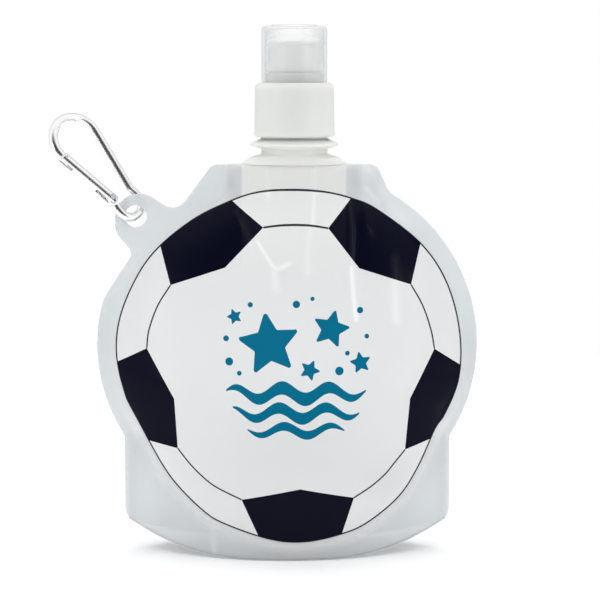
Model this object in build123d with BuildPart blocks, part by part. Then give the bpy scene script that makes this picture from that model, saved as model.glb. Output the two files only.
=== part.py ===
"""Collapsible sports bottle: a flat film pouch with a gusseted base, a weld-in spout, a screw cap with a
push-pull mouthpiece, a clear overcap, and a small carabiner through the pouch's tab.

Units are millimetres. +Z is up and -Y is the printed front. The origin is on the floor, under the middle
of the whole bottle's width, carabiner included.
"""
import os
from math import acos, atan2, cos, dist, radians, sin, sqrt

from build123d import *

os.makedirs("parts", exist_ok=True)

# ---- Driving dimensions -------------------------------------------------------------------------

# Where the two centre lines stand: the pouch is cut a little to one side of its spout
pouch_x = 9.35
spout_x = 12.2

# Film
film = 0.4
film_gap = 0.12  # from the middle plane to a panel's inner face, where the two are sealed together
body_side = 72.2  # half the width of the round body
body_side_z = 78.5
top_edge_z = 146.9
skirt_half_width = 62.0
skirt_top_z = 43.4
skirt_bottom_z = 12.0
foot_half_width = 14.0  # the straight stretch of the bottom edge
tab_hole_radius = 4.2
tab_hole = (-57.25, 127.3)  # from the pouch's centre line, and up

# How far the panels bulge
belly_z = 40.0
belly_depth = 27.0
foot_depth = 25.0
spout_depth = 12.2
seal_radius = 68.8  # inner edge of the round side seal
seal_z = 69.7
seal_blend = 0.12  # how gradually a panel leaves its seal
base_half_length = 60.0
fold_crest_z = 22.0  # the gusset's fold, at the middle and at the corners
fold_corner_z = 36.0
gusset_half_length = 50.0
gusset_clearance = 0.15

# Spout
weld_half_length = 25.2
weld_half_depth = 11.5
weld_bottom_z = 132.0
plate_z = 147.05
neck_radius = 12.5
neck_bore = 9.6
neck_top_z = 172.3
support_ring_z = 154.5
support_ring_radius = 16.6

# Cap
thread_pitch = 4.0
thread_turns = 1.5
skirt_radius = 15.1  # at its foot; the collar tapers a little to its shoulder
shoulder_radius = 14.85
skirt_bore = 14.15
collar_bottom_z = 157.4
collar_top_z = 177.8
chimney_radius = 6.9
nozzle_radius = 9.9
nozzle_top_z = 195.7
overcap_radius = 12.4
overcap_top_z = 199.4

# Carabiner, in its own plane: along its length and across it, from inside its small eye
wire_radius = 1.7
eye_bend = 5.0
eye_bottom = 4.0
eye_sides = (-4.1, 6.5)
film_in_eye = 3.85  # how far below the eye's origin the wire passes through the film
bow_centre = (32.2, 1.1)
bow_radius = 9.6
lean = radians(129.3)  # its length's direction in the front view, from +X
twist = radians(40.0)  # it is turned about its length, to pass through the tab's hole
gate_radius = 2.0
rivet_at = (7.2, -3.3)
rivet_radius = 0.75
rivet_clearance = 0.08
tongue = 1.5  # thickness of the frame's two flattened ends

# ---- Shared planes and functions ----------------------------------------------------------------

front_plane = Plane(origin=(pouch_x, 0, 0), x_dir=(1, 0, 0), z_dir=(0, -1, 0))
spout_plane = Plane(origin=(spout_x, 0, 0), x_dir=(1, 0, 0), z_dir=(0, -1, 0))
spout_axis = Axis((spout_x, 0, 0), (0, 0, 1))


def smooth(t):
    """Rises smoothly from 0 to 1 as t goes from 0 to 1."""
    t = min(1.0, max(0.0, t))
    return t * t * (3 - 2 * t)


def half_depth(x, z):
    """How far a panel stands off the middle plane, at x from the pouch's centre line and height z."""
    if z < belly_z:
        middle = belly_depth - (belly_depth - foot_depth) * ((belly_z - z) / belly_z) ** 2
    else:
        rise = (z - belly_z) / (weld_bottom_z - belly_z)
        middle = belly_depth - (belly_depth - spout_depth) * smooth(rise)
    if z < seal_z:
        rise = (z - skirt_top_z) / (seal_z - skirt_top_z)
        width = base_half_length + (seal_radius - base_half_length) * smooth(rise)
    else:
        round_part = sqrt(max(0.0, seal_radius**2 - (z - seal_z) ** 2))
        width = (round_part**6 + (weld_half_length + 0.8) ** 6) ** (1 / 6)
    centre = (spout_x - pouch_x) * smooth((z - 112.0) / (weld_bottom_z - 112.0))
    swell = 1 - ((x - centre) / width) ** 2
    if swell > seal_blend:
        return middle * swell
    return middle * max(0.0, swell + seal_blend) ** 2 / (4 * seal_blend)


def bottom_edge_z(x):
    """Height of the pouch's bottom edge: straight in the middle, then an arc up to the skirt's corners."""
    run = skirt_half_width - foot_half_width
    arc_radius = (run**2 + skirt_bottom_z**2) / (2 * skirt_bottom_z)
    out = max(0.0, abs(x) - foot_half_width)
    return arc_radius - sqrt(arc_radius**2 - out**2)


def outline(points):
    """A flat face from its outline's points."""
    with BuildSketch() as shape:
        with BuildLine():
            Polyline(*points, close=True)
        make_face()
    return shape.sketch


def screw_thread(root, crest, root_half, crest_half, start_z, sign):
    """A helical ridge on the spout's axis. sign is 1 where it stands outwards and -1 inwards."""
    with BuildPart() as ridge:
        with BuildLine() as path:
            Helix(thread_pitch, thread_pitch * thread_turns, root, center=(spout_x, 0, start_z))
        start = path.line @ 0
        with BuildSketch(Plane(origin=start, x_dir=(sign, 0, 0), z_dir=path.line % 0)):
            height = abs(crest - root)
            with BuildLine():
                Polyline(
                    (-0.3, -root_half),
                    (height, -crest_half),
                    (height, crest_half),
                    (-0.3, root_half),
                    close=True,
                )
            make_face()
        sweep(path=path.line, is_frenet=True)
    return ridge.part


def write(piece, name):
    """Labels a finished piece and writes it as one STEP file."""
    piece.part.label = name
    export_step(piece.part, f"parts/{name}.step")


# ---- Pouch: two panels and a gusset -------------------------------------------------------------

right_side = [(skirt_half_width, skirt_top_z), (body_side, body_side_z), (38.75, 136.2)]
left_side = [(-69.65, 96.0), (-body_side, body_side_z), (-skirt_half_width, skirt_top_z)]
# The left side's corners, from the shoulder round the carabiner's tab, each with its rounding
left_corners = {
    (-28.2, top_edge_z): 4.0,
    (-41.9, 128.4): 6.0,
    (-65.0, 143.7): 9.1,
    (-65.0, 121.3): 7.0,
    (-58.3, 113.4): 3.0,
    left_side[0]: 20.0,
}
other_corners = {
    (33.85, top_edge_z): 4.0,
    right_side[2]: 6.0,
    right_side[0]: 3.0,
    left_side[2]: 3.0,
    (skirt_half_width, skirt_bottom_z): 6.0,
    (-skirt_half_width, skirt_bottom_z): 6.0,
}

with BuildSketch(front_plane) as pouch_outline:
    with BuildLine():
        Line((-foot_half_width, 0), (foot_half_width, 0))
        TangentArc((foot_half_width, 0), (skirt_half_width, skirt_bottom_z), tangent=(1, 0))
        Line((skirt_half_width, skirt_bottom_z), right_side[0])
        ThreePointArc(*right_side)
        Polyline(right_side[2], (33.85, top_edge_z), *left_corners)
        ThreePointArc(*left_side)
        Line(left_side[2], (-skirt_half_width, skirt_bottom_z))
        TangentArc((-foot_half_width, 0), (-skirt_half_width, skirt_bottom_z), tangent=(-1, 0))
    make_face()
    for (x, z), radius in (left_corners | other_corners).items():
        corner = pouch_outline.vertices().sort_by_distance((x, z, 0))[0]
        fillet(corner, radius)
    with Locations(tab_hole):
        Circle(tab_hole_radius, mode=Mode.SUBTRACT)

across_columns = [-74 + 148 * i / 80 for i in range(81)]
up_rows = [-2 + 151 * j / 78 for j in range(79)]
panel_grid = [[(pouch_x + x, -film_gap - half_depth(x, z), z) for x in across_columns] for z in up_rows]
panel_surface = Face.make_surface_from_array_of_points(panel_grid, tol=0.1, min_deg=3, max_deg=3)

with BuildPart() as front_panel:
    extrude(pouch_outline.sketch, amount=40)
    extrude(panel_surface, amount=film, dir=(0, -1, 0), mode=Mode.INTERSECT)

with BuildPart() as rear_panel:
    mirror(front_panel.part, about=Plane.XZ)


def seal_arc_z(x):
    """Height of the curve along which the gusset leaves the panels."""
    return seal_z - sqrt(seal_radius**2 - x**2)


def gusset_half_width(x):
    """How far the gusset reaches to either side of the middle plane, to just inside the panels."""
    return half_depth(x, seal_arc_z(x)) - film_gap - gusset_clearance


def gusset_z(x, y):
    """Height of the gusset: an arch from one panel's seal over the fold's crest to the other's."""
    crest = fold_crest_z + (fold_corner_z - fold_crest_z) * (x / base_half_length) ** 2
    return crest - (crest - seal_arc_z(x)) * smooth(abs(y) / gusset_half_width(x))


stations = [-gusset_half_length + 2 * gusset_half_length * i / 12 for i in range(13)]
gusset_rows = [-gusset_half_length + 2 * gusset_half_length * i / 50 for i in range(51)]
gusset_columns = [-27 + 54 * j / 36 for j in range(37)]
gusset_grid = [[(pouch_x + x, y, gusset_z(x, y)) for x in gusset_rows] for y in gusset_columns]
gusset_surface = Face.make_surface_from_array_of_points(gusset_grid, tol=0.1, min_deg=3, max_deg=3)

with BuildPart() as bottom_gusset:
    with BuildSketch():
        with BuildLine():
            near = Spline(*[(pouch_x + x, -gusset_half_width(x)) for x in stations])
            far = Spline(*[(pouch_x + x, gusset_half_width(x)) for x in stations])
            Line(near @ 0, far @ 0)
            Line(near @ 1, far @ 1)
        make_face()
    extrude(amount=60)
    extrude(gusset_surface, amount=film, dir=(0, 0, 1), mode=Mode.INTERSECT)

# ---- Spout: weld boat, top plate, neck with its support ring and thread --------------------------

neck_profile = [
    (neck_bore, 149.0),
    (neck_radius, 149.0),
    (neck_radius, support_ring_z - 1.6),
    (support_ring_radius - 0.15, support_ring_z - 0.5),
    (support_ring_radius, support_ring_z - 0.3),
    (support_ring_radius, support_ring_z + 0.2),
    (support_ring_radius - 0.15, support_ring_z + 0.4),
    (neck_radius, support_ring_z + 2.3),
    (neck_radius, neck_top_z),
    (neck_bore, neck_top_z),
]
thread_low_z = 160.2
rib_count = 4
rib_step = (top_edge_z - weld_bottom_z) / rib_count


def weld_section(shrink):
    """The boat's lens-shaped section, its outline drawn in by shrink."""
    length = weld_half_length - shrink
    depth = weld_half_depth - shrink
    with BuildSketch() as lens:
        with BuildLine():
            ThreePointArc((-length, 0), (0, depth), (length, 0))
            ThreePointArc((length, 0), (0, -depth), (-length, 0))
        make_face()
    return lens.sketch


with BuildPart() as spout:
    with BuildSketch(Plane((spout_x, 0, weld_bottom_z))):
        add(weld_section(0.5))
    extrude(amount=plate_z - weld_bottom_z)
    for rib in range(rib_count):
        with BuildSketch(Plane((spout_x, 0, weld_bottom_z + (rib + 0.25) * rib_step))):
            add(weld_section(0))
        extrude(amount=rib_step * 0.6)
    with BuildSketch(Plane((spout_x, 0, plate_z))):
        Ellipse(19.6, 13.4)
    extrude(amount=0.6)
    for height, half_width, half_depth_here in ((0.6, 19.6, 13.4), (1.7, 17.8, 13.0), (2.6, 16.9, 12.8)):
        with BuildSketch(Plane((spout_x, 0, plate_z + height))):
            Ellipse(half_width, half_depth_here)
    with BuildSketch(Plane((spout_x, 0, plate_z + 3.9))):
        Circle(neck_radius)
    loft(ruled=True)
    with BuildSketch(spout_plane):
        add(outline(neck_profile))
    revolve(axis=spout_axis)
    add(screw_thread(neck_radius, 13.8, 1.0, 0.5, thread_low_z, 1))
    with BuildSketch(Plane((spout_x, 0, weld_bottom_z - 1))):
        Circle(neck_bore)
    extrude(amount=60, mode=Mode.SUBTRACT)

# ---- Cap: gasket, collar, mouthpiece and overcap ------------------------------------------------

with BuildPart() as cap_gasket:
    with BuildSketch(spout_plane):
        add(outline([(neck_bore, 172.4), (13.5, 172.4), (13.5, 174.2), (neck_bore, 174.2)]))
    revolve(axis=spout_axis)

plate_low_z = 174.3
collar_profile = [
    (skirt_bore, collar_bottom_z + 0.3),
    (skirt_bore + 0.2, collar_bottom_z),
    (skirt_bore + 0.5, collar_bottom_z),
    (skirt_radius + 0.25, collar_bottom_z + 0.7),
    (skirt_radius + 0.25, collar_bottom_z + 1.0),
    (skirt_radius, collar_bottom_z + 2.0),
    (shoulder_radius, collar_top_z),
    (11.1, collar_top_z),
    (11.1, 181.2),
    (10.9, 181.5),
    (10.3, 181.5),
    (10.3, 176.7),
    (chimney_radius, 176.7),
    (chimney_radius, 187.3),
    (chimney_radius + 0.6, 187.9),
    (chimney_radius + 0.6, 188.4),
    (chimney_radius + 0.1, 189.0),
    (5.4, 189.0),
    (5.4, plate_low_z),
    (skirt_bore, plate_low_z),
]
post_radius = 2.1

with BuildPart() as cap_collar:
    with BuildSketch(spout_plane):
        add(outline(collar_profile))
    revolve(axis=spout_axis)
    shoulder = cap_collar.edges().filter_by(GeomType.CIRCLE)
    shoulder = shoulder.filter_by(lambda e: abs(e.radius - shoulder_radius) < 0.01).sort_by(Axis.Z)[-1]
    fillet(shoulder, 2.4)
    add(screw_thread(skirt_bore, 12.9, 0.9, 0.4, thread_low_z + thread_pitch / 2, -1))
    with BuildSketch(Plane((spout_x, 0, plate_low_z))):
        Circle(post_radius)
        with PolarLocations(0, 3):
            with Locations((3.6, 0)):
                Rectangle(4.2, 1.4)
    extrude(amount=2.2)
    with BuildSketch(Plane((spout_x, 0, plate_low_z))):
        Circle(post_radius)
    extrude(amount=195.0 - plate_low_z)
    post_tip = cap_collar.faces().filter_by(Plane.XY).sort_by(Axis.Z)[-1]
    chamfer(post_tip.edges(), 0.6)

nozzle_profile = [
    (chimney_radius + 0.25, 177.8),
    (9.5, 177.8),
    (nozzle_radius, 178.3),
    (nozzle_radius, 191.6),
    (10.6, 192.2),
    (10.6, 193.0),
    (10.2, 193.4),
    (4.6, 195.6),
    (4.2, nozzle_top_z),
    (2.7, nozzle_top_z),
    (post_radius + 0.08, 195.1),
    (post_radius + 0.08, 193.2),
    (4.0, 192.2),
    (7.7, 191.2),
    (7.7, 179.9),
    (chimney_radius + 0.25, 179.2),
]

with BuildPart() as mouthpiece:
    with BuildSketch(spout_plane):
        add(outline(nozzle_profile))
    revolve(axis=spout_axis)

with BuildPart() as overcap:
    with BuildSketch(Plane((spout_x, 0, collar_top_z + 0.06))):
        Circle(overcap_radius)
    extrude(amount=overcap_top_z - 0.5 - collar_top_z - 0.06)
    fillet(overcap.edges().sort_by(Axis.Z)[-1], 1.6)
    with BuildSketch(Plane((spout_x, 0, overcap_top_z - 0.5))):
        Circle(8.6)
    extrude(amount=0.5)
    fillet(overcap.edges().sort_by(Axis.Z)[-1], 0.3)
    with BuildSketch(Plane((spout_x, 0, collar_top_z))):
        Circle(11.25)
    extrude(amount=overcap_top_z - 1.5 - collar_top_z, mode=Mode.SUBTRACT)
    rim = overcap.edges().filter_by(GeomType.CIRCLE).sort_by(Axis.Z)[0:2].sort_by(SortBy.RADIUS)[-1]
    chamfer(rim, 0.25)

# ---- Carabiner: bent wire frame, gate, rivet, latch pin and spring --------------------------------

along = Vector(cos(lean), 0, sin(lean))
across = Vector(sin(lean) * cos(twist), sin(twist), -cos(lean) * cos(twist))
hole_point = Vector(pouch_x + tab_hole[0], 0, tab_hole[1])
clip_plane = Plane(origin=hole_point + along * film_in_eye, x_dir=along, z_dir=along.cross(across))



def on_bow(angle):
    """A point on the bow's centre line, at an angle round the bow from the carabiner's length."""
    return (bow_centre[0] + bow_radius * cos(angle), bow_centre[1] + bow_radius * sin(angle))


# The long leg runs from the bow, tangent to it, to the side of the small eye
leg_end = (5.6, 5.9)
reach = dist(bow_centre, leg_end)
leg_angle = atan2(leg_end[1] - bow_centre[1], leg_end[0] - bow_centre[0]) - acos(bow_radius / reach)
leg_start = on_bow(leg_angle)
# The gate's line, from its rivet to the tip of the bow
gate_reach = dist(bow_centre, rivet_at)
gate_angle = atan2(rivet_at[1] - bow_centre[1], rivet_at[0] - bow_centre[0]) + acos(bow_radius / gate_reach)
bow_end = on_bow(gate_angle)
gate_length = dist(bow_end, rivet_at)
gate_slope = atan2(bow_end[1] - rivet_at[1], bow_end[0] - rivet_at[0])
gate_plane = Plane(
    origin=clip_plane.from_local_coords((*rivet_at, 0)),
    x_dir=along * cos(gate_slope) + across * sin(gate_slope),
    z_dir=clip_plane.z_dir,
)
nose_length = 2.6  # how far the nose reaches past the bow, towards the rivet
pin_at = 0.4  # where the latch pin sits, from the bow's end towards the rivet

with BuildPart() as carabiner_frame:
    with BuildLine(clip_plane) as frame_path:
        nose_tip = (bow_end[0] - nose_length * cos(gate_slope), bow_end[1] - nose_length * sin(gate_slope))
        Line(nose_tip, bow_end)
        ThreePointArc(bow_end, on_bow(0), leg_start)
        FilletPolyline(
            leg_start,
            leg_end,
            (3.2, eye_sides[1]),
            (-eye_bottom, eye_sides[1]),
            (-eye_bottom, eye_sides[0]),
            (2.6, eye_sides[0]),
            (5.0, -3.55),
            (rivet_at[0] + 1.6, rivet_at[1] - 0.1),
            radius=[2.0, 2.0, eye_bend, eye_bend, 2.0, 2.0],
        )
    with BuildSketch(Plane(origin=frame_path.line @ 0, z_dir=frame_path.line % 0)):
        Circle(wire_radius)
    sweep(path=frame_path.line, transition=Transition.ROUND)
    # Both ends are flattened to a tongue that the forked gate straddles
    for side in (1, -1):
        with BuildSketch(gate_plane.offset(side * tongue / 2)):
            Circle(3.3)
            with Locations((gate_length + 1.2 - 4.5, 0)):
                Rectangle(9.0, 6.0)
        extrude(amount=side * 3, mode=Mode.SUBTRACT)
    with BuildSketch(gate_plane.offset(-3)):
        Circle(rivet_radius + 0.05)
        with Locations((gate_length - pin_at, 0.7)):
            Rectangle(1.6, 2.7)
    extrude(amount=6, mode=Mode.SUBTRACT)

gate_tip = gate_length + 0.8
with BuildPart() as carabiner_gate:
    with BuildSketch(Plane(origin=gate_plane.from_local_coords((-2.0, 0, 0)), z_dir=gate_plane.x_dir)):
        Circle(gate_radius)
    extrude(amount=gate_tip + 2.0)
    chamfer(carabiner_gate.edges().filter_by(GeomType.CIRCLE), 0.4)
    # A fork at each end
    slot = tongue + 0.4
    with BuildSketch(gate_plane.offset(-slot / 2)):
        with Locations((2.2, 0)):
            Rectangle(8.6, 6.0)
        with Locations((gate_tip - 2.9, 0)):
            Rectangle(6.4, 6.0)
    extrude(amount=slot, mode=Mode.SUBTRACT)
    with BuildSketch(gate_plane.offset(-3)):
        Circle(rivet_radius + rivet_clearance)
        with Locations((gate_length - pin_at, 0)):
            Circle(0.6)
    extrude(amount=6, mode=Mode.SUBTRACT)

with BuildPart() as gate_rivet:
    rivet_grip = gate_radius + 0.1
    with BuildSketch(gate_plane.offset(-rivet_grip)):
        Circle(rivet_radius)
    extrude(amount=2 * rivet_grip)
    for side in (1, -1):
        with BuildSketch(gate_plane.offset(side * rivet_grip)):
            Circle(1.15)
        extrude(amount=side * 0.45, taper=30)

with BuildPart() as latch_pin:
    pin_foot = gate_plane.from_local_coords((gate_length - pin_at, 0, -2.1))
    with BuildSketch(Plane(origin=pin_foot, z_dir=gate_plane.z_dir)):
        Circle(0.6)
    extrude(amount=4.2)

with BuildPart() as gate_spring:
    with BuildLine(gate_plane) as spring_path:
        FilletPolyline((0.9, -2.3), (3.2, -2.35), (5.4, -1.3), (6.1, -0.2), radius=0.9)
    with BuildSketch(Plane(origin=spring_path.line @ 0, z_dir=spring_path.line % 0)):
        Circle(0.3)
    sweep(path=spring_path.line)

# ---- Write the parts ------------------------------------------------------------------------------

pieces = {
    "front_panel": front_panel,
    "rear_panel": rear_panel,
    "bottom_gusset": bottom_gusset,
    "spout": spout,
    "cap_gasket": cap_gasket,
    "cap_collar": cap_collar,
    "mouthpiece": mouthpiece,
    "overcap": overcap,
    "carabiner_frame": carabiner_frame,
    "carabiner_gate": carabiner_gate,
    "gate_rivet": gate_rivet,
    "latch_pin": latch_pin,
    "gate_spring": gate_spring,
}
for name, piece in pieces.items():
    write(piece, name)
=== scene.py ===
"""Collapsible sports bottle, dressed for rendering: the film pouch with its print and creases is built
here, round the CAD frame, and the moulded and metal parts keep their CAD shapes with better materials.

Lengths in the tables and helpers are millimetres; mesh coordinates are metres.
x is measured from the pouch's own centre line where a function says so.
"""
import math

import bmesh
import bpy
import numpy as np
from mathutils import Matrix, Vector
from mathutils.geometry import delaunay_2d_cdt
from mathutils.kdtree import KDTree


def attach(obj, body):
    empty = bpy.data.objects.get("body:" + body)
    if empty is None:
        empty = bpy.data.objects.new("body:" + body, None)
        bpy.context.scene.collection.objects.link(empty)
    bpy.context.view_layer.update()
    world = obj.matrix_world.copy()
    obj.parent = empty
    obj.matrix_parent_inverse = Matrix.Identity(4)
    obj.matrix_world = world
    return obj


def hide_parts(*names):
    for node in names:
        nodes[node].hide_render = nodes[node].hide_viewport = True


MM = 0.001

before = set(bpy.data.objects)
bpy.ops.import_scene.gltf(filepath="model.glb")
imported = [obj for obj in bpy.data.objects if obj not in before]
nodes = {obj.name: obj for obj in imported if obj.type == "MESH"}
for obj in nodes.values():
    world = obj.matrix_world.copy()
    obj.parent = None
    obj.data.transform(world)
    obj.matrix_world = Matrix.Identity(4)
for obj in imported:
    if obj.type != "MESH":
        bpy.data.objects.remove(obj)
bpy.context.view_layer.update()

# ---- The pouch's form: the same numbers as the CAD solids ----------------------------------------

POUCH_X = 9.35
SPOUT_X = 12.2
BELLY_Z = 40.0
BELLY_DEPTH = 27.0
FOOT_DEPTH = 25.0
SPOUT_DEPTH = 12.2
WELD_BOTTOM_Z = 132.0
WELD_HALF_LENGTH = 25.2
SEAL_RADIUS = 68.8
SEAL_Z = 69.7
SEAL_BLEND = 0.12
BASE_HALF_LENGTH = 60.0
SKIRT_HALF_WIDTH = 62.0
SKIRT_TOP_Z = 43.4
SKIRT_BOTTOM_Z = 12.0
FOOT_HALF_WIDTH = 14.0
TAB_HOLE = (-57.25, 127.3)
TAB_HOLE_RADIUS = 4.2
INNER_FACE = 0.03  # a panel's inner face, from the middle plane
FILM = 0.34
SIDE_WELD = 1.2  # how far in from the skirt's sides the panels start to close
SIDE_WELD_TOP = 50.0


def smooth(t):
    t = np.clip(t, 0.0, 1.0)
    return t * t * (3 - 2 * t)


def half_depth(x, z):
    """How far a panel stands off the middle plane. x is from the pouch's centre line."""
    low = BELLY_DEPTH - (BELLY_DEPTH - FOOT_DEPTH) * (np.clip(BELLY_Z - z, 0, None) / BELLY_Z) ** 2
    high = BELLY_DEPTH - (BELLY_DEPTH - SPOUT_DEPTH) * smooth((z - BELLY_Z) / (WELD_BOTTOM_Z - BELLY_Z))
    middle = np.where(z < BELLY_Z, low, high)
    skirt = BASE_HALF_LENGTH + (SEAL_RADIUS - BASE_HALF_LENGTH) * smooth(
        (z - SKIRT_TOP_Z) / (SEAL_Z - SKIRT_TOP_Z)
    )
    round_part = np.sqrt(np.clip(SEAL_RADIUS**2 - (z - SEAL_Z) ** 2, 0, None))
    body = (round_part**6 + (WELD_HALF_LENGTH + 0.8) ** 6) ** (1 / 6)
    width = np.where(z < SEAL_Z, skirt, body)
    centre = (SPOUT_X - POUCH_X) * smooth((z - 112.0) / (WELD_BOTTOM_Z - 112.0))
    swell = 1 - ((x - centre) / width) ** 2
    edge = middle * np.clip(swell + SEAL_BLEND, 0, None) ** 2 / (4 * SEAL_BLEND)
    return np.where(swell > SEAL_BLEND, middle * swell, edge)


# ---- The print, as points on the front panel: x from the pouch's centre line, and z --------------

BALL_LINE = [
    (14.3, 137.1), (24.1, 134.5), (33.9, 130.1), (50.6, 117.1), (60.5, 102.4), (65.5, 84.1),
    (65.4, 66.4), (60.3, 52.4),
    (56.3, 46.8), (49.5, 33.0), (42.1, 22.6), (30.1, 13.8), (20.6, 10.2), (6.8, 7.7), (-6.2, 8.7),
    (-24.0, 14.2), (-31.3, 18.3), (-40.6, 26.5), (-47.4, 34.9), (-57.8, 52.3), (-61.9, 61.4),
    (-64.8, 77.3),
    (-62.0, 93.3), (-52.2, 111.6), (-36.9, 125.2), (-20.7, 133.6), (-9.5, 137.2), (2.7, 138.0),
]
# Each dark patch: where the outer line enters and leaves it, then its inner corners in order
PATCHES = [
    ((-47.9, 116.1), (-20.7, 133.6), [(-8.8, 123.9), (-23.1, 108.9), (-43.8, 101.9)]),
    ((23.5, 134.8), (50.6, 117.1), [(46.8, 102.0), (27.1, 108.6), (15.5, 123.6)]),
    ((-52.9, 43.4), (-64.5, 73.0), [(-52.8, 78.1), (-42.2, 59.8), (-41.0, 41.1)]),
    ((65.9, 71.3), (54.6, 43.4), [(44.5, 40.2), (46.3, 59.7), (55.7, 77.8)]),
    ((20.6, 10.2), (-11.2, 9.9), [(-16.8, 23.4), (5.0, 27.7), (25.1, 23.7)]),
]
# The thin lines between neighbouring patches
RING_LINES = [
    [(-8.8, 123.9), (-2.5, 124.7), (3.5, 124.9), (9.4, 124.6), (15.5, 123.6)],
    [(-43.8, 101.9), (-48.7, 94.0), (-52.0, 84.9), (-52.8, 78.1)],
    [(-41.0, 41.1), (-36.7, 36.1), (-32.3, 31.9), (-26.6, 27.8), (-16.8, 23.4)],
    [(25.1, 23.7), (31.4, 27.4), (36.7, 31.5), (40.5, 35.7), (44.5, 40.2)],
    [(46.8, 102.0), (51.3, 93.9), (54.4, 84.8), (55.7, 77.8)],
]


def curve_through(points, step, closed):
    """A smooth line (Catmull-Rom) through points, sampled about every step."""
    pts = [np.array(p, float) for p in points]
    count = len(pts)
    out = []
    for i in range(count if closed else count - 1):
        p1, p2 = pts[i], pts[(i + 1) % count]
        p0 = pts[i - 1] if closed or i > 0 else 2 * p1 - p2
        p3 = pts[(i + 2) % count] if closed or i + 2 < count else 2 * p2 - p1
        pieces = max(1, round(np.linalg.norm(p2 - p1) / step))
        for k in range(pieces):
            t = k / pieces
            out.append(
                0.5 * (2 * p1 + (p2 - p0) * t + (2 * p0 - 5 * p1 + 4 * p2 - p3) * t**2
                       + (3 * p1 - p0 - 3 * p2 + p3) * t**3)
            )
    if not closed:
        out.append(pts[-1])
    return np.array(out)


def stroke(line, width, closed=False):
    """The outline of a line drawn width wide."""
    line = np.asarray(line, float)
    before = np.roll(line, 1, 0)
    after = np.roll(line, -1, 0)
    if not closed:
        before[0], after[-1] = line[0], line[-1]
    along = after - before
    along /= np.linalg.norm(along, axis=1)[:, None]
    side = np.stack([-along[:, 1], along[:, 0]], 1) * np.reshape(width, (-1, 1)) / 2
    return line + side, line - side


def line_width(line):
    """The printed lines are heavier at the top, over the spout."""
    return 0.56 + 0.30 * np.exp(-(((line[:, 0] - 3.0) / 14.0) ** 2)) * smooth((line[:, 1] - 100.0) / 20.0)


def inside(points, polygon):
    """Which points lie in the polygon, as an array of booleans."""
    px, pz = points[:, 0][:, None], points[:, 1][:, None]
    x0, z0 = polygon[:, 0][None], polygon[:, 1][None]
    x1, z1 = np.roll(polygon[:, 0], -1)[None], np.roll(polygon[:, 1], -1)[None]
    with np.errstate(divide="ignore", invalid="ignore"):
        crossing = ((z0 > pz) != (z1 > pz)) & (px < (x1 - x0) * (pz - z0) / (z1 - z0) + x0)
    return crossing.sum(1) % 2 == 1


def distance(points, line, closed=True):
    """Each point's distance to a polyline."""
    a = line if closed else line[:-1]
    b = np.roll(line, -1, 0) if closed else line[1:]
    best = np.full(len(points), 1e9)
    for p, q in zip(a, b):
        d = q - p
        t = np.clip(((points - p) @ d) / max(d @ d, 1e-12), 0, 1)
        best = np.minimum(best, np.linalg.norm(points - p - t[:, None] * d, axis=1))
    return best


ball_line = curve_through(BALL_LINE, 1.6, True)


def signed_from_ball(x, z):
    """Distance outside the ball's outer line, negative inside it."""
    shape = np.shape(x)
    points = np.stack([np.ravel(x), np.ravel(z)], 1)
    d = distance(points, ball_line)
    return np.where(inside(points, ball_line), -d, d).reshape(shape)


# Shallow dents and folds in the film: centre x, z, direction in degrees, half length, half width, depth
DENTS = [
    (61.5, 52.0, 145.0, 7.0, 2.2, 0.9),
    (64.5, 68.0, 172.0, 8.0, 2.4, 0.8),
    (64.8, 86.0, 196.0, 7.0, 2.2, 0.7),
    (61.0, 99.5, 212.0, 7.0, 2.0, 0.5),
    (-63.5, 62.0, 18.0, 7.0, 2.2, 0.6),
    (-64.5, 90.0, -14.0, 6.0, 2.0, 0.5),
    (-2.0, 103.0, 62.0, 9.0, 1.2, 0.35),
    (1.5, 108.5, 18.0, 5.0, 1.0, 0.3),
    (34.0, 139.5, 118.0, 9.0, 2.2, -0.9),
    (29.5, 131.0, 96.0, 8.0, 2.0, -0.6),
    (-26.5, 138.0, 84.0, 9.0, 2.0, -0.6),
    (-58.0, 24.0, 78.0, 12.0, 3.0, 0.6),
    (57.0, 24.0, 104.0, 12.0, 3.0, 0.6),
]


# Crests pressed up in the film: the line's points, how wide and high each is, and how strong the painted
# highlight along it is
CREASES = [
    ([(-7.0, 146.0), (-7.0, 135.6)], 0.8, 0.20, 0.9),
    ([(10.2, 146.0), (10.2, 138.0), (9.8, 130.0), (9.7, 125.3)], 0.8, 0.18, 0.7),
    ([(8.6, 122.5), (7.9, 115.0), (7.8, 107.0)], 1.1, 0.14, 0.35),
    ([(-16.5, 146.0), (-16.5, 135.4)], 0.7, 0.20, 0.6),
    ([(-14.4, 146.0), (-14.6, 135.4)], 0.6, 0.12, 0.4),
    ([(23.6, 133.0), (24.4, 121.0), (24.2, 109.0)], 0.9, 0.32, 0.4),
    ([(24.2, 109.0), (25.0, 98.0), (25.9, 89.6)], 0.9, 0.30, 1.0),
    ([(40.4, 112.0), (40.7, 102.8), (41.0, 89.0)], 1.6, 0.22, 0.45),
    ([(-18.5, 130.0), (-15.8, 124.0), (-13.2, 118.0)], 1.0, 0.22, 0.3),
    ([(-11.1, 118.9), (-8.0, 113.8), (-4.8, 109.0)], 0.6, 0.24, 1.0),
    ([(-4.8, 109.0), (-3.3, 108.6), (0.5, 110.1)], 0.9, 0.20, 0.8),
    ([(-4.6, 107.5), (-4.0, 101.0)], 1.5, 0.12, 0.4),
    ([(30.0, 146.0), (30.8, 144.6)], 1.6, 0.30, 0.9),
    ([(30.1, 138.0), (32.0, 135.2), (34.6, 132.7)], 1.0, 0.40, 0.8),
    ([(36.0, 137.5), (38.8, 131.5), (43.0, 126.5)], 1.5, 0.30, 0.3),
    ([(-27.7, 12.0), (-27.3, 3.0)], 1.3, 0.15, 0.3),
]


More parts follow.
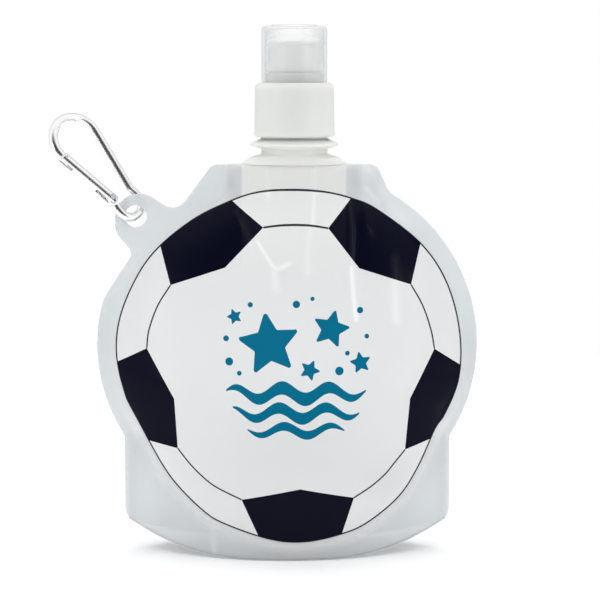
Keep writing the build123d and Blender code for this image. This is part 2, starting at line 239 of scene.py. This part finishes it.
def crest(x, z, line, width, height):
    line = curve_through(line, 2.0, False)
    shape = np.shape(x)
    points = np.stack([np.ravel(x), np.ravel(z)], 1)
    away = distance(points, line, closed=False).reshape(shape)
    return height * np.exp(-((away / width) ** 2))


def relief(x, z):
    """What the film's own creases add to half_depth, outwards."""
    out = np.zeros(np.shape(x))
    for line, width, height, _ in CREASES:
        out += crest(x, z, line, width, height)
    for cx, cz, turn, half_length, half_width, depth in DENTS:
        c, s = math.cos(math.radians(turn)), math.sin(math.radians(turn))
        u = ((x - cx) * c + (z - cz) * s) / half_length
        v = (-(x - cx) * s + (z - cz) * c) / half_width
        out -= depth * np.exp(-(u * u) - v * v)
    return out


PILLOW = 1.3  # how far the round part stands out over the skirt below it


def panel_face(x, z):
    """How far a panel's inner face stands off the middle plane, creases included."""
    x, z = np.asarray(x, float), np.asarray(z, float)
    h = half_depth(x, z)
    away = signed_from_ball(x, z)
    pillow = PILLOW * smooth((4.2 - away) / 3.0) * smooth((100.0 - z) / 60.0)
    out = h + relief(x, z) * (0.25 + 0.75 * smooth(h / 4.0)) + pillow * smooth(h / 6.0)
    # The skirt's sides are welded shut past the gusset's ends
    welded = smooth(np.abs(x) - SKIRT_HALF_WIDTH + SIDE_WELD) * smooth((SIDE_WELD_TOP - z) / 4.0)
    return np.maximum(out * (1 - welded), 0.0) + INNER_FACE


# ---- The pouch's cut outline ---------------------------------------------------------------------


def arc_points(start, middle, end, step=1.5):
    """Points on the circle through three points, from start to end."""
    (ax, az), (bx, bz), (cx, cz) = start, middle, end
    d = 2 * (ax * (bz - cz) + bx * (cz - az) + cx * (az - bz))
    a2, b2, c2 = ax * ax + az * az, bx * bx + bz * bz, cx * cx + cz * cz
    ux = (a2 * (bz - cz) + b2 * (cz - az) + c2 * (az - bz)) / d
    uz = (a2 * (cx - bx) + b2 * (ax - cx) + c2 * (bx - ax)) / d
    radius = math.hypot(ax - ux, az - uz)
    a0 = math.atan2(az - uz, ax - ux)
    turns = [(math.atan2(p[1] - uz, p[0] - ux) - a0) % (2 * math.pi) for p in (middle, end)]
    sweep = turns[1] if turns[0] < turns[1] else turns[1] - 2 * math.pi
    count = max(2, round(abs(sweep) * radius / step))
    return [
        (ux + radius * math.cos(a0 + sweep * i / count), uz + radius * math.sin(a0 + sweep * i / count))
        for i in range(count + 1)
    ]


def bottom_edge_z(x):
    run = SKIRT_HALF_WIDTH - FOOT_HALF_WIDTH
    radius = (run**2 + SKIRT_BOTTOM_Z**2) / (2 * SKIRT_BOTTOM_Z)
    out = np.clip(np.abs(x) - FOOT_HALF_WIDTH, 0, run)
    return radius - np.sqrt(radius**2 - out**2)


def rounded(path, corners, step=0.9):
    """A closed path whose named corners are rounded: their sides are cut back and an arc let in."""
    pts = [np.array(p, float) for p in path]
    count = len(pts)
    out = []
    skip = set()
    arcs = {}
    for corner, radius in corners.items():
        i = min(range(count), key=lambda k: math.dist(pts[k], corner))
        here = pts[i]
        before, after = i, i
        while math.dist(pts[(before - 1) % count], here) < 0.5 + radius * 0.2:
            before -= 1
        while math.dist(pts[(after + 1) % count], here) < 0.5 + radius * 0.2:
            after += 1
        u = pts[(before - 1) % count] - here
        v = pts[(after + 1) % count] - here
        u, v = u / np.linalg.norm(u), v / np.linalg.norm(v)
        half = math.acos(np.clip(u @ v, -1, 1)) / 2
        cut = radius / math.tan(half)
        bisector = (u + v) / np.linalg.norm(u + v)
        centre = here + bisector * radius / math.sin(half)
        k = i
        while math.dist(pts[k % count], here) < cut:
            skip.add(k % count)
            k += 1
        k = i
        while math.dist(pts[k % count], here) < cut:
            skip.add(k % count)
            k -= 1
        first, last = here + u * cut, here + v * cut
        a0 = math.atan2(*(first - centre)[::-1])
        a1 = math.atan2(*(last - centre)[::-1])
        sweep = (a1 - a0 + math.pi) % (2 * math.pi) - math.pi
        n = max(3, round(abs(sweep) * radius / step))
        arcs[i] = [
            centre + radius * np.array([math.cos(a0 + sweep * j / n), math.sin(a0 + sweep * j / n)])
            for j in range(n + 1)
        ]
    for i, p in enumerate(pts):
        if i in arcs:
            out.extend(arcs[i])
        elif i not in skip:
            out.append(p)
    return np.array(out)


def even(path, step):
    """The closed path again, with points step apart, its sharp bends kept to within half a step."""
    path = np.asarray(path, float)
    nxt = np.roll(path, -1, 0)
    lengths = np.linalg.norm(nxt - path, axis=1)
    ends = np.concatenate([[0], np.cumsum(lengths)])
    count = int(round(ends[-1] / step))
    wanted = np.arange(count) * ends[-1] / count
    which = np.searchsorted(ends, wanted, side="right") - 1
    t = (wanted - ends[which]) / np.maximum(lengths[which], 1e-9)
    return path[which] + (nxt[which] - path[which]) * t[:, None]


RIGHT_SIDE = [(62.0, 43.4), (72.2, 78.5), (38.75, 136.2)]
LEFT_SIDE = [(-69.65, 96.0), (-72.2, 78.5), (-62.0, 43.4)]
CORNERS = {
    (62.0, 12.0): 6.0, (62.0, 43.4): 3.0, (38.75, 136.2): 6.0, (33.85, 146.9): 4.0,
    (-28.2, 146.9): 4.0, (-41.9, 128.4): 6.0, (-65.0, 143.7): 9.1, (-65.0, 121.3): 7.0,
    (-58.3, 113.4): 3.0, (-69.65, 96.0): 20.0, (-62.0, 43.4): 3.0, (-62.0, 12.0): 6.0,
}


def film_outline():
    foot = [(float(x), float(bottom_edge_z(x))) for x in np.arange(-61.0, 61.1, 1.0)]
    path = [(-62.0, 12.0), *foot, (62.0, 12.0)]
    path += [(62.0, z) for z in np.arange(14.0, 43.0, 2.0)]
    path += arc_points(*RIGHT_SIDE)
    path += [(33.85, 146.9)] + [(x, 146.9) for x in np.arange(28.0, -25.0, -2.0)]
    for a, b in zip(list(CORNERS)[4:9], list(CORNERS)[5:10]):
        n = max(1, int(math.dist(a, b) / 1.5))
        path += [tuple(np.array(a) + (np.array(b) - np.array(a)) * i / n) for i in range(n)]
    path += arc_points(*LEFT_SIDE)
    path += [(-62.0, z) for z in np.arange(42.0, 13.0, -2.0)]
    return even(rounded(path, CORNERS), 1.2)


# ---- Shapes in the printed pattern ---------------------------------------------------------------

# Colours as red, green, blue and how well they cover
WHITE_INK = (0.80, 0.815, 0.81, 0.86)
NAVY_INK = (0.0030, 0.0036, 0.0120, 1.0)
LINE_INK = (0.030, 0.032, 0.038, 1.0)
TEAL_INK = (0.003, 0.150, 0.262, 1.0)
CLEAR_FILM = (0.825, 0.855, 0.875)
CREAM_AND_HIGHLIGHT = np.array([0.95, 0.95, 0.915])  # the spout's own cream seen through the film; also painted light below the spout, and a painted highlight round the pillow's foot
# Painted highlight along the crests of the creases
CREASE_HIGHLIGHT = np.array([0.97, 0.98, 0.975])
EDGE_INK = (0.42, 0.43, 0.46, 0.7)  # the weld along the bottom ends in a thin dark line
EDGE_INSET, EDGE_WIDTH = 0.7, 0.28
WELD_X, WELD_HALF, WELD_FADE = 2.7, 19.6, 0.7  # the spout's body, seen through the film
WARM_LIGHT_FOOT = 100.0  # and how far below it painted light makes the print lighter and warmer
# Shaded places: centre x, z, half width, half height, and how dark, or how light where it is negative
SHADES = [
    (5.0, -4.0, 60.0, 12.0, 0.44),
    (2.0, 40.0, 40.0, 22.0, 0.09),
    (39.0, 29.0, 9.0, 8.0, 0.06),
    (-20.9, 139.8, 1.9, 4.6, 0.13),
    (25.8, 140.8, 2.1, 4.6, 0.13),
    (31.5, 139.0, 3.0, 3.0, 0.08),
    (-31.0, 8.0, 7.0, 5.0, 0.05),
    (-53.0, 24.0, 9.0, 14.0, -0.12),
    (-45.0, 14.0, 3.0, 4.0, 0.06),
    (55.0, 22.0, 9.0, 13.0, -0.10),
    (-70.0, 76.0, 4.0, 20.0, 0.09),
    (70.0, 73.0, 4.0, 20.0, 0.13),
    (42.0, 127.0, 8.0, 7.0, -0.10),
]


def film_colours(x, z, ink):
    """Colour and coverage at points on the film: its ink, or none, with the spout seen through it and
    painted light and shade: the shaded places, light on the print below the spout, and highlights round
    the pillow's foot and along the creases.
    """
    clear = ink[:, 3] == 0
    out = np.where(clear[:, None], (*CLEAR_FILM, 0.0), ink)
    for shade_x, shade_z, half_width, half_height, dark in SHADES:
        away = ((x - shade_x) / half_width) ** 2 + ((z - shade_z) / half_height) ** 2
        out[:, :3] *= 1 - dark * np.exp(-away)[:, None]
    pale = np.where(out[:, 0] > 0.3, 1.0, 0.02)
    # Where the film is clear over the spout it shows the spout's cream; the print in the same band gets
    # painted light, lighter and warmer up towards the spout
    spout_band = smooth((WELD_HALF - np.abs(x - WELD_X)) / WELD_FADE + 0.5)
    cream_and_light = spout_band * np.where(clear, 0.9 * smooth((z - 130.0) / 4.0), 0.3 * smooth((z - WARM_LIGHT_FOOT) / 30.0))
    # Painted highlight: a light band just outside the ball's line, round the pillow's foot
    pillow = 0.55 * np.exp(-(((signed_from_ball(x, z) - 2.4) / 1.7) ** 2)) * smooth((66.0 - z) / 25.0)
    cream_and_light = np.maximum(cream_and_light, np.where(clear, pillow, 0.0)) * pale
    out[:, :3] += (CREAM_AND_HIGHLIGHT - out[:, :3]) * cream_and_light[:, None]
    out[:, 3] += np.where(clear, 0.5 * cream_and_light, 0.0)
    # Painted highlight along each crease's crest, kept off the dark inks
    highlight_amount = np.zeros(len(x))
    for line, width, _, highlight_strength in CREASES:
        highlight_amount = np.maximum(highlight_amount, crest(x, z, line, width, highlight_strength))
    out[:, :3] += (CREASE_HIGHLIGHT - out[:, :3]) * (highlight_amount * pale)[:, None]
    return out


def star(x, z, size, turn=0.0, waist=0.48):
    points = []
    for i in range(10):
        radius = size if i % 2 == 0 else size * waist
        angle = math.radians(turn + 90 + 36 * i)
        points.append((x + radius * math.cos(angle), z + radius * math.sin(angle)))
    return rounded(even(points, 0.5), {points[i]: size * 0.07 for i in range(0, 10, 2)}, 0.25)


def disc(x, z, radius):
    n = max(14, int(radius * 8))
    return np.array([
        (x + radius * math.cos(2 * math.pi * i / n), z + radius * math.sin(2 * math.pi * i / n))
        for i in range(n)
    ])


def ribbon(x0, x1, z, height, wavelength, width, phase):
    """A wavy band, thick in the middle and tapering to its ends."""
    xs = np.linspace(x0, x1, int((x1 - x0) / 0.8))
    t = (xs - x0) / (x1 - x0)
    mid = z + height * np.sin(2 * math.pi * (xs - x0) / wavelength + phase)
    half = width / 2 * np.sqrt(np.clip(np.sin(math.pi * t), 0.02, 1))
    return np.concatenate([np.stack([xs, mid + half], 1), np.stack([xs, mid - half], 1)[::-1]])


def motif():
    """A plain pattern of stars, dots and waves in the middle of the ball."""
    shapes = [
        star(-6.5, 81.0, 12.5, 8),
        star(16.5, 86.5, 7.6, -14),
        star(27.5, 74.0, 4.4, 10),
        star(-19.5, 91.0, 3.2, 20),
        star(8.6, 71.6, 4.2, -24),
        ribbon(-22.5, 29.5, 63.2, 2.1, 17.5, 5.0, 0.4),
        ribbon(-20.0, 27.0, 56.0, 2.0, 17.5, 4.4, 1.7),
        ribbon(-14.5, 21.5, 49.6, 1.7, 17.5, 3.4, 3.0),
    ]
    dots = [
        (-22.6, 83.0, 1.1), (-21.4, 74.6, 1.5), (-13.6, 95.4, 1.0), (3.6, 95.6, 1.4), (9.6, 97.6, 0.8),
        (27.4, 93.2, 1.2), (29.9, 83.6, 0.9), (22.6, 77.6, 0.9), (19.6, 71.2, 1.6), (-17.6, 70.4, 0.9),
    ]
    return shapes + [disc(*d) for d in dots]


def nearest(line, point):
    return int(np.argmin(np.linalg.norm(line - np.array(point), axis=1)))


def patch_outline(enter, leave, corners):
    """A dark patch: clockwise along the ball's outer line from enter to leave, and back by its corners."""
    count = len(ball_line)
    i, j = nearest(ball_line, enter), nearest(ball_line, leave)
    along = [ball_line[k % count] for k in range(i, j + 1 if j > i else j + 1 + count)]
    path = [*along, *[np.array(c) for c in corners]]
    out = list(along)
    chain = [along[-1], *path[len(along):], along[0]]
    for a, b in zip(chain[:-1], chain[1:]):
        n = max(1, int(np.linalg.norm(b - a) / 1.6))
        out += [a + (b - a) * k / n for k in range(1 if a is along[-1] else 0, n)]
    return np.array(out)


def print_shapes():
    """The print, lowest first: (outline, ink)."""
    outer, inner = stroke(ball_line, line_width(ball_line), closed=True)
    if inside(np.array([outer[0]]), inner)[0]:
        outer, inner = inner, outer
    xs = np.linspace(-60.5, 60.5, 122)
    edge = np.stack([xs, bottom_edge_z(xs) + EDGE_INSET], 1)
    a, b = stroke(edge, EDGE_WIDTH)
    shapes = [(np.concatenate([a, b[::-1]]), EDGE_INK), (outer, LINE_INK), (inner, WHITE_INK)]
    for line in RING_LINES:
        middle = curve_through(line, 1.2, False)
        a, b = stroke(middle, line_width(middle))
        shapes.append((np.concatenate([a, b[::-1]]), LINE_INK))
    for patch in PATCHES:
        shapes.append((patch_outline(*patch), NAVY_INK))
    return shapes + [(shape, TEAL_INK) for shape in motif()]


# ---- Panels --------------------------------------------------------------------------------------


def flat_cells(outline, holes, shapes, spacing):
    """Triangles over the outline whose edges follow it, the holes and every printed shape.

    Returns (points, triangles, ink per triangle), inks as rows of red, green, blue and coverage."""
    loops = [outline, *holes, *[s for s, _ in shapes]]
    fixed = np.concatenate(loops)
    edges = []
    start = 0
    for loop in loops:
        n = len(loop)
        edges += [(start + i, start + (i + 1) % n) for i in range(n)]
        start += n
    lo, hi = outline.min(0), outline.max(0)
    grid = []
    row = 0
    z = lo[1] + spacing / 2
    while z < hi[1]:
        xs = np.arange(lo[0] + (row % 2) * spacing / 2, hi[0], spacing)
        grid.append(np.stack([xs, np.full(len(xs), z)], 1))
        z += spacing * 0.87
        row += 1
    for line, width, _, _ in CREASES:
        middle = curve_through(line, 1.0, False)
        grid.append(middle)
        for out in (0.5, 1.0, 1.6, 2.3):
            grid += stroke(middle, 2 * out * width)
    for side in (-1, 1):
        for away in (-0.5, 0.5):
            column = WELD_X + side * (WELD_HALF + away * WELD_FADE)
            rows = np.arange(WARM_LIGHT_FOOT, hi[1], 1.0)
            grid.append(np.stack([np.full(len(rows), column), rows], 1))
    grid = np.concatenate(grid)
    grid = grid[inside(grid, outline)]
    tree = KDTree(len(fixed))
    for i, p in enumerate(fixed):
        tree.insert((p[0], p[1], 0), i)
    tree.balance()
    grid = [p for p in grid if tree.find((p[0], p[1], 0))[2] > spacing * 0.3]
    verts = [Vector(p) for p in [*fixed, *grid]]
    out_verts, _, out_faces, *_ = delaunay_2d_cdt(verts, edges, [], 0, 1e-5)
    points = np.array([tuple(v) for v in out_verts])
    triangles = np.array([f for f in out_faces if len(f) == 3])
    middles = points[triangles].mean(1)
    keep = inside(middles, outline)
    for hole in holes:
        keep &= ~inside(middles, hole)
    first, second, third = (points[triangles[:, k]] for k in range(3))
    area = np.cross(second - first, third - first)
    keep &= np.abs(area) > 1e-7
    triangles, middles, area = triangles[keep], middles[keep], area[keep]
    flipped = area < 0
    triangles[flipped] = triangles[flipped][:, ::-1]
    ink = np.zeros((len(triangles), 4))
    for shape, colour in shapes:
        ink[inside(middles, shape)] = colour
    return points, triangles, ink


def add_object(name, data):
    obj = bpy.data.objects.new(name, data)
    bpy.context.scene.collection.objects.link(obj)
    return obj


def film_panel(name, facing, shapes, material):
    """A film panel with both faces and its cut edge. facing is -1 for the front and 1 for the rear."""
    outline = film_outline()
    hole = disc(*TAB_HOLE, TAB_HOLE_RADIUS)
    points, triangles, ink = flat_cells(outline, [hole], shapes, 2.0)
    used = np.unique(triangles)
    renumber = np.full(len(points), -1)
    renumber[used] = np.arange(len(used))
    points, triangles = points[used], renumber[triangles]
    x, z = points[:, 0], points[:, 1]

    small = 0.25
    depth = panel_face(x, z)
    slope_x = (panel_face(x + small, z) - panel_face(x - small, z)) / (2 * small)
    slope_z = (panel_face(x, z + small) - panel_face(x, z - small)) / (2 * small)
    normal = np.stack([-slope_x, np.full(len(x), float(facing)), -slope_z], 1)
    normal /= np.linalg.norm(normal, axis=1)[:, None]
    inner = np.stack([x + POUCH_X, facing * depth, z], 1)
    outer = inner + np.array([0, facing * FILM, 0])
    count = len(points)
    co = np.concatenate([outer, inner]) * MM
    # Seen from -Y, the flat triangles run anticlockwise with +X right and +Z up
    front = triangles if facing < 0 else triangles[:, ::-1]
    back = (triangles[:, ::-1] if facing < 0 else triangles) + count
    directed = np.concatenate([front[:, [0, 1]], front[:, [1, 2]], front[:, [2, 0]]])
    seen = {(a, b) for a, b in directed.tolist()}
    rim = [(a, b) for a, b in seen if (b, a) not in seen]
    rim.sort()
    faces = front.tolist() + back.tolist() + [[b, a, a + count, b + count] for a, b in rim]
    mesh = bpy.data.meshes.new(name)
    mesh.from_pydata(co.tolist(), [], faces)
    colour = np.zeros((len(mesh.loops), 4), np.float32)
    loops = 3 * len(front)
    corners = front.ravel()
    colour[:loops] = film_colours(x[corners], z[corners], np.repeat(ink, 3, 0))
    colour[loops:, :3] = CLEAR_FILM
    attribute = mesh.color_attributes.new("ink", "FLOAT_COLOR", "CORNER")
    attribute.data.foreach_set("color", colour.ravel())
    mesh.shade_smooth()
    custom = np.zeros((len(mesh.loops), 3), np.float32)
    index = np.zeros(len(mesh.loops), np.int32)
    mesh.loops.foreach_get("vertex_index", index)
    shell = np.concatenate([normal, -normal])
    custom[:] = shell[index]
    for polygon in list(mesh.polygons)[len(front) * 2 :]:
        n = polygon.normal
        for li in polygon.loop_indices:
            custom[li] = n
    mesh.normals_split_custom_set(custom.tolist())
    mesh.materials.append(material)
    return add_object(name, mesh)


# ---- Gusset --------------------------------------------------------------------------------------


def gusset(name, material):
    """The folded film in the base: a leaf inside each panel, and an arch between them."""
    seal = ball_line
    lower = seal[seal[:, 1] < 60]
    stations = np.linspace(-60.6, 60.6, 122)
    order = np.argsort(lower[:, 0])
    seal_height = np.interp(stations, lower[order, 0], lower[order, 1]) - 2.6
    seal_height = np.minimum(seal_height, 43.0)
    leaf, arch = 7, 14
    foot = bottom_edge_z(stations) + 0.05
    top = np.maximum(seal_height, foot + 1.0)
    crest_z = np.maximum(23.0 + 21.5 * (stations / 60.0) ** 2, top + 0.4)
    leaf_z = foot[:, None] + (top - foot)[:, None] * np.arange(leaf + 1) / leaf
    leaf_y = panel_face(np.repeat(stations[:, None], leaf + 1, 1), leaf_z) - 0.12
    rows = []
    for x, zs, ys, crest_here in zip(stations, leaf_z, leaf_y, crest_z):
        half = list(zip(ys[:-1], zs[:-1]))
        rise = crest_here - zs[-1]
        controls = [(1.0, 0.0), (0.92, 0.45), (0.45, 0.62), (0.0, 1.0)]
        for i in range(arch + 1):
            t = i / arch
            weights = [(1 - t) ** 3, 3 * t * (1 - t) ** 2, 3 * t * t * (1 - t), t**3]
            y = sum(w * c[0] for w, c in zip(weights, controls)) * ys[-1]
            half.append((y, zs[-1] + rise * sum(w * c[1] for w, c in zip(weights, controls))))
        rows.append([(x, -y, z) for y, z in half] + [(x, y, z) for y, z in half[-2::-1]])
    width = len(rows[0])
    co = [((x + POUCH_X) * MM, y * MM, z * MM) for row in rows for x, y, z in row]
    faces = [
        (i * width + j, (i + 1) * width + j, (i + 1) * width + j + 1, i * width + j + 1)
        for i in range(len(rows) - 1)
        for j in range(width - 1)
    ]
    mesh = bpy.data.meshes.new(name)
    mesh.from_pydata(co, [], faces)
    attribute = mesh.color_attributes.new("ink", "FLOAT_COLOR", "CORNER")
    attribute.data.foreach_set("color", np.tile((*CLEAR_FILM, 0.0), len(mesh.loops)))
    mesh.shade_smooth()
    mesh.materials.append(material)
    piece = add_object(name, mesh)
    thick = piece.modifiers.new("thickness", "SOLIDIFY")
    thick.thickness = 0.1 * MM
    thick.offset = 0
    return piece


# ---- Materials -----------------------------------------------------------------------------------


class Nodes:
    """A material with short ways to add and join its nodes."""

    def __init__(self, name):
        self.material = bpy.data.materials.new(name)
        self.material.use_nodes = True
        self.tree = self.material.node_tree
        self.shader = self.tree.nodes["Principled BSDF"]

    def add(self, kind, **values):
        node = self.tree.nodes.new(kind)
        for key, value in values.items():
            if key in node.inputs:
                node.inputs[key].default_value = value
            else:
                setattr(node, key, value)
        return node

    def join(self, source, target):
        self.tree.links.new(source, target)

    def set(self, **values):
        for key, value in values.items():
            self.shader.inputs[key.replace("_", " ")].default_value = value

    def place(self):
        return self.add("ShaderNodeTexCoord").outputs["Object"]

    def noise(self, scale, detail=3.0, roughness=0.5):
        node = self.add("ShaderNodeTexNoise", Scale=scale, Detail=detail, Roughness=roughness)
        self.join(self.place(), node.inputs["Vector"])
        return node.outputs["Fac"]

    def between(self, factor, low, high):
        node = self.add("ShaderNodeMapRange")
        node.inputs["To Min"].default_value = low
        node.inputs["To Max"].default_value = high
        self.join(factor, node.inputs["Value"])
        return node.outputs["Result"]

    def tint(self, factor, a, b):
        """A colour between a and b."""
        node = self.add("ShaderNodeMix", data_type="RGBA")
        sockets = [socket for socket in node.inputs if socket.type == "RGBA"]
        for socket, colour in zip(sockets, (a, b)):
            socket.default_value = (*colour, 1)
        self.join(factor, node.inputs[0])
        return next(socket for socket in node.outputs if socket.type == "RGBA")

    def bump(self, height, distance, strength=1.0):
        node = self.add("ShaderNodeBump", Distance=distance, Strength=strength)
        self.join(height, node.inputs["Height"])
        self.join(node.outputs["Normal"], self.shader.inputs["Normal"])


def film_material(name, clearness):
    """Milky film. Its colour, and how well print covers it, come from the mesh."""
    m = Nodes(name)
    ink = m.add("ShaderNodeAttribute", attribute_name="ink")
    cloud = m.noise(38.0, 4.0, 0.55)
    fade = m.add("ShaderNodeMix", data_type="RGBA", blend_type="MULTIPLY")
    fade.inputs[0].default_value = 1.0
    sockets = [socket for socket in fade.inputs if socket.type == "RGBA"]
    m.join(ink.outputs["Color"], sockets[0])
    m.join(m.tint(cloud, (0.96, 0.965, 0.97), (1, 1, 1)), sockets[1])
    m.join(next(s for s in fade.outputs if s.type == "RGBA"), m.shader.inputs["Base Color"])
    m.join(m.between(ink.outputs["Alpha"], clearness, 1.0), m.shader.inputs["Alpha"])
    m.join(m.between(m.noise(420.0, 3.0, 0.6), 0.13, 0.2), m.shader.inputs["Roughness"])
    m.bump(m.noise(90.0, 2.0, 0.5), 0.00004, 0.5)
    m.set(Specular_IOR_Level=0.05)
    return m.material


def plastic_material(name, light, dark, roughness, alpha=None, glow=0.0):
    """Moulded plastic. alpha, if it is see-through, is how much it hides face on and at its edges."""
    m = Nodes(name)
    cloud = m.noise(60.0, 3.0)
    m.join(m.tint(cloud, dark, light), m.shader.inputs["Base Color"])
    gloss = m.between(m.noise(900.0, 3.0, 0.6), roughness * 0.85, roughness * 1.2)
    m.join(gloss, m.shader.inputs["Roughness"])
    m.bump(m.noise(700.0, 2.0, 0.6), 0.00002, 0.5)
    if alpha:
        path = m.add("ShaderNodeLayerWeight")
        m.join(m.between(path.outputs["Facing"], *alpha), m.shader.inputs["Alpha"])
    if glow:
        m.set(Subsurface_Weight=glow, Subsurface_Scale=0.004)
        m.shader.inputs["Subsurface Radius"].default_value = (1.0, 0.95, 0.85)
    m.set(IOR=1.5)
    return m.material


def metal_material(name, light, dark, low, high):
    m = Nodes(name)
    streak = m.noise(260.0, 4.0, 0.6)
    m.join(m.tint(streak, dark, light), m.shader.inputs["Base Color"])
    m.join(m.between(m.noise(1200.0, 3.0, 0.6), low, high), m.shader.inputs["Roughness"])
    m.bump(m.noise(1500.0, 2.0, 0.6), 0.00001, 0.35)
    m.set(Metallic=1.0)
    return m.material


def dress(node, material):
    """Gives a CAD node a material in every slot it has."""
    node_object = nodes[node]
    if not node_object.data.materials:
        node_object.data.materials.append(material)
    for i in range(len(node_object.data.materials)):
        node_object.data.materials[i] = material


spout_plastic = plastic_material("spout_plastic", (0.84, 0.85, 0.81), (0.80, 0.81, 0.77), 0.36, glow=0.3)
cap_plastic = plastic_material("cap_plastic", (0.82, 0.83, 0.79), (0.78, 0.79, 0.75), 0.38, glow=0.2)
mouth_plastic = plastic_material(
    "mouthpiece_plastic", (0.93, 0.94, 0.91), (0.90, 0.91, 0.88), 0.34, glow=0.3
)
cover_plastic = plastic_material(
    "overcap_plastic", (0.70, 0.735, 0.75), (0.67, 0.71, 0.73), 0.16, alpha=(0.02, 0.55)
)
seal_rubber = plastic_material("gasket_rubber", (0.70, 0.70, 0.68), (0.63, 0.63, 0.61), 0.6)
polished = metal_material("carabiner_metal", (0.90, 0.90, 0.895), (0.84, 0.84, 0.84), 0.2, 0.3)
steel = metal_material("rivet_steel", (0.60, 0.60, 0.61), (0.46, 0.46, 0.48), 0.22, 0.38)
for node_name, node_material in {
    "spout": spout_plastic,
    "cap_collar": cap_plastic,
    "mouthpiece": mouth_plastic,
    "overcap": cover_plastic,
    "cap_gasket": seal_rubber,
    "carabiner_frame": polished,
    "carabiner_gate": polished,
    "gate_rivet": steel,
    "latch_pin": steel,
    "gate_spring": steel,
}.items():
    dress(node_name, node_material)

printed_film = film_material("printed_film", 0.52)
plain_film = film_material("plain_film", 0.42)

front = film_panel("front_film", -1, print_shapes(), printed_film)
rear = film_panel("rear_film", 1, [], plain_film)
base = gusset("gusset_film", plain_film)
for piece, node, slot in (
    (front, "front_panel", "printed_film"),
    (rear, "rear_panel", "plain_film"),
    (base, "bottom_gusset", "plain_film"),
):
    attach(piece, "pouch")
    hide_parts(node)

# ---- Studio --------------------------------------------------------------------------------------

CAMERA = Vector((14.3, -900.0, 190.0)) * MM
AIM = Vector((14.3, 0.0, 95.4)) * MM
PIXEL = 0.38 * MM  # how much of the aimed plane one of the 600 pixels covers
IMAGE = 600
FLOOR_RADIUS = 0.6


def point_at(obj, place, target):
    obj.location = place
    obj.rotation_mode = "QUATERNION"
    obj.rotation_quaternion = (Vector(target) - Vector(place)).to_track_quat("-Z", "Y")


def floor():
    """A pale round floor, lit from within a little, so that no line shows where it ends."""
    bm = bmesh.new()
    bmesh.ops.create_circle(bm, cap_ends=True, segments=64, radius=FLOOR_RADIUS)
    mesh = bpy.data.meshes.new("floor")
    bm.to_mesh(mesh)
    bm.free()
    m = Nodes("floor")
    m.set(Base_Color=(0.9, 0.9, 0.9, 1), Roughness=0.8)
    m.set(Emission_Color=(1, 1, 1, 1), Emission_Strength=0.12)
    m.shader.inputs["Specular IOR Level"].default_value = 0.1
    mesh.materials.append(m.material)
    obj = add_object("floor", mesh)


def area(name, place, target, width, height, power, glossy=True):
    light = bpy.data.lights.new(name, "AREA")
    light.shape = "RECTANGLE"
    light.size, light.size_y = width, height
    light.energy = power
    obj = add_object(name, light)
    point_at(obj, place, target)
    obj.visible_glossy = glossy


def surroundings(world):
    """White all round, with a darker zone in front of the bottle, as a photographer leaves there."""
    world.use_nodes = True
    tree = world.node_tree
    seen = tree.nodes["Background"]
    seen.inputs["Color"].default_value = (1, 1, 1, 1)
    seen.inputs["Strength"].default_value = 1.0
    lit = tree.nodes.new("ShaderNodeBackground")
    lit.inputs["Color"].default_value = (0.985, 0.99, 1, 1)
    where = tree.nodes.new("ShaderNodeTexCoord")
    split = tree.nodes.new("ShaderNodeSeparateXYZ")
    ramp = tree.nodes.new("ShaderNodeMapRange")
    ramp.interpolation_type = "SMOOTHSTEP"
    for socket, value in {"From Min": -0.82, "From Max": -0.4, "To Min": 0.05, "To Max": 1.0}.items():
        ramp.inputs[socket].default_value = value
    path = tree.nodes.new("ShaderNodeLightPath")
    # Gloss sees a dimmer zone behind the bottle too, so that metal and clear plastic keep their outlines
    shine = tree.nodes.new("ShaderNodeMapRange")
    shine.interpolation_type = "SMOOTHSTEP"
    for socket, value in {"From Min": 0.2, "From Max": 0.95, "To Min": 1.12, "To Max": 0.6}.items():
        shine.inputs[socket].default_value = value
    level = tree.nodes.new("ShaderNodeMix")
    level.inputs["A"].default_value = 0.9
    both = tree.nodes.new("ShaderNodeMath")
    both.operation = "MULTIPLY"
    mix = tree.nodes.new("ShaderNodeMixShader")
    out = tree.nodes["World Output"]
    for a, b in (
        (where.outputs["Generated"], split.inputs[0]),
        (split.outputs["Y"], ramp.inputs["Value"]),
        (split.outputs["Y"], shine.inputs["Value"]),
        (path.outputs["Is Glossy Ray"], level.inputs["Factor"]),
        (shine.outputs["Result"], level.inputs["B"]),
        (ramp.outputs["Result"], both.inputs[0]),
        (level.outputs["Result"], both.inputs[1]),
        (both.outputs[0], lit.inputs["Strength"]),
        (path.outputs["Is Camera Ray"], mix.inputs[0]),
        (lit.outputs[0], mix.inputs[1]),
        (seen.outputs[0], mix.inputs[2]),
        (mix.outputs[0], out.inputs["Surface"]),
    ):
        tree.links.new(a, b)


def studio():
    floor()
    scene = bpy.context.scene
    scene.world = bpy.data.worlds.new("studio")
    surroundings(scene.world)
    scene.view_settings.view_transform = "Standard"
    middle = (0.01, 0.0, 0.1)
    area("strip_left", (-0.78, -0.63, 0.22), middle, 0.05, 0.4, 0.8)
    area("strip_right", (0.78, -0.63, 0.22), middle, 0.05, 0.4, 0.8)
    area("front_fill", (0.0, -1.5, 1.2), middle, 1.8, 1.4, 13.0, glossy=False)
    area("top_light", (0.0, 0.45, 1.4), middle, 1.4, 1.2, 6.4, glossy=False)
    camera = bpy.data.cameras.new("camera")
    camera.sensor_width = 36.0
    camera.lens = 36.0 * (AIM - CAMERA).length / (IMAGE * PIXEL)
    camera.clip_start = 0.05
    scene.camera = add_object("camera", camera)
    point_at(scene.camera, CAMERA, AIM)


studio()
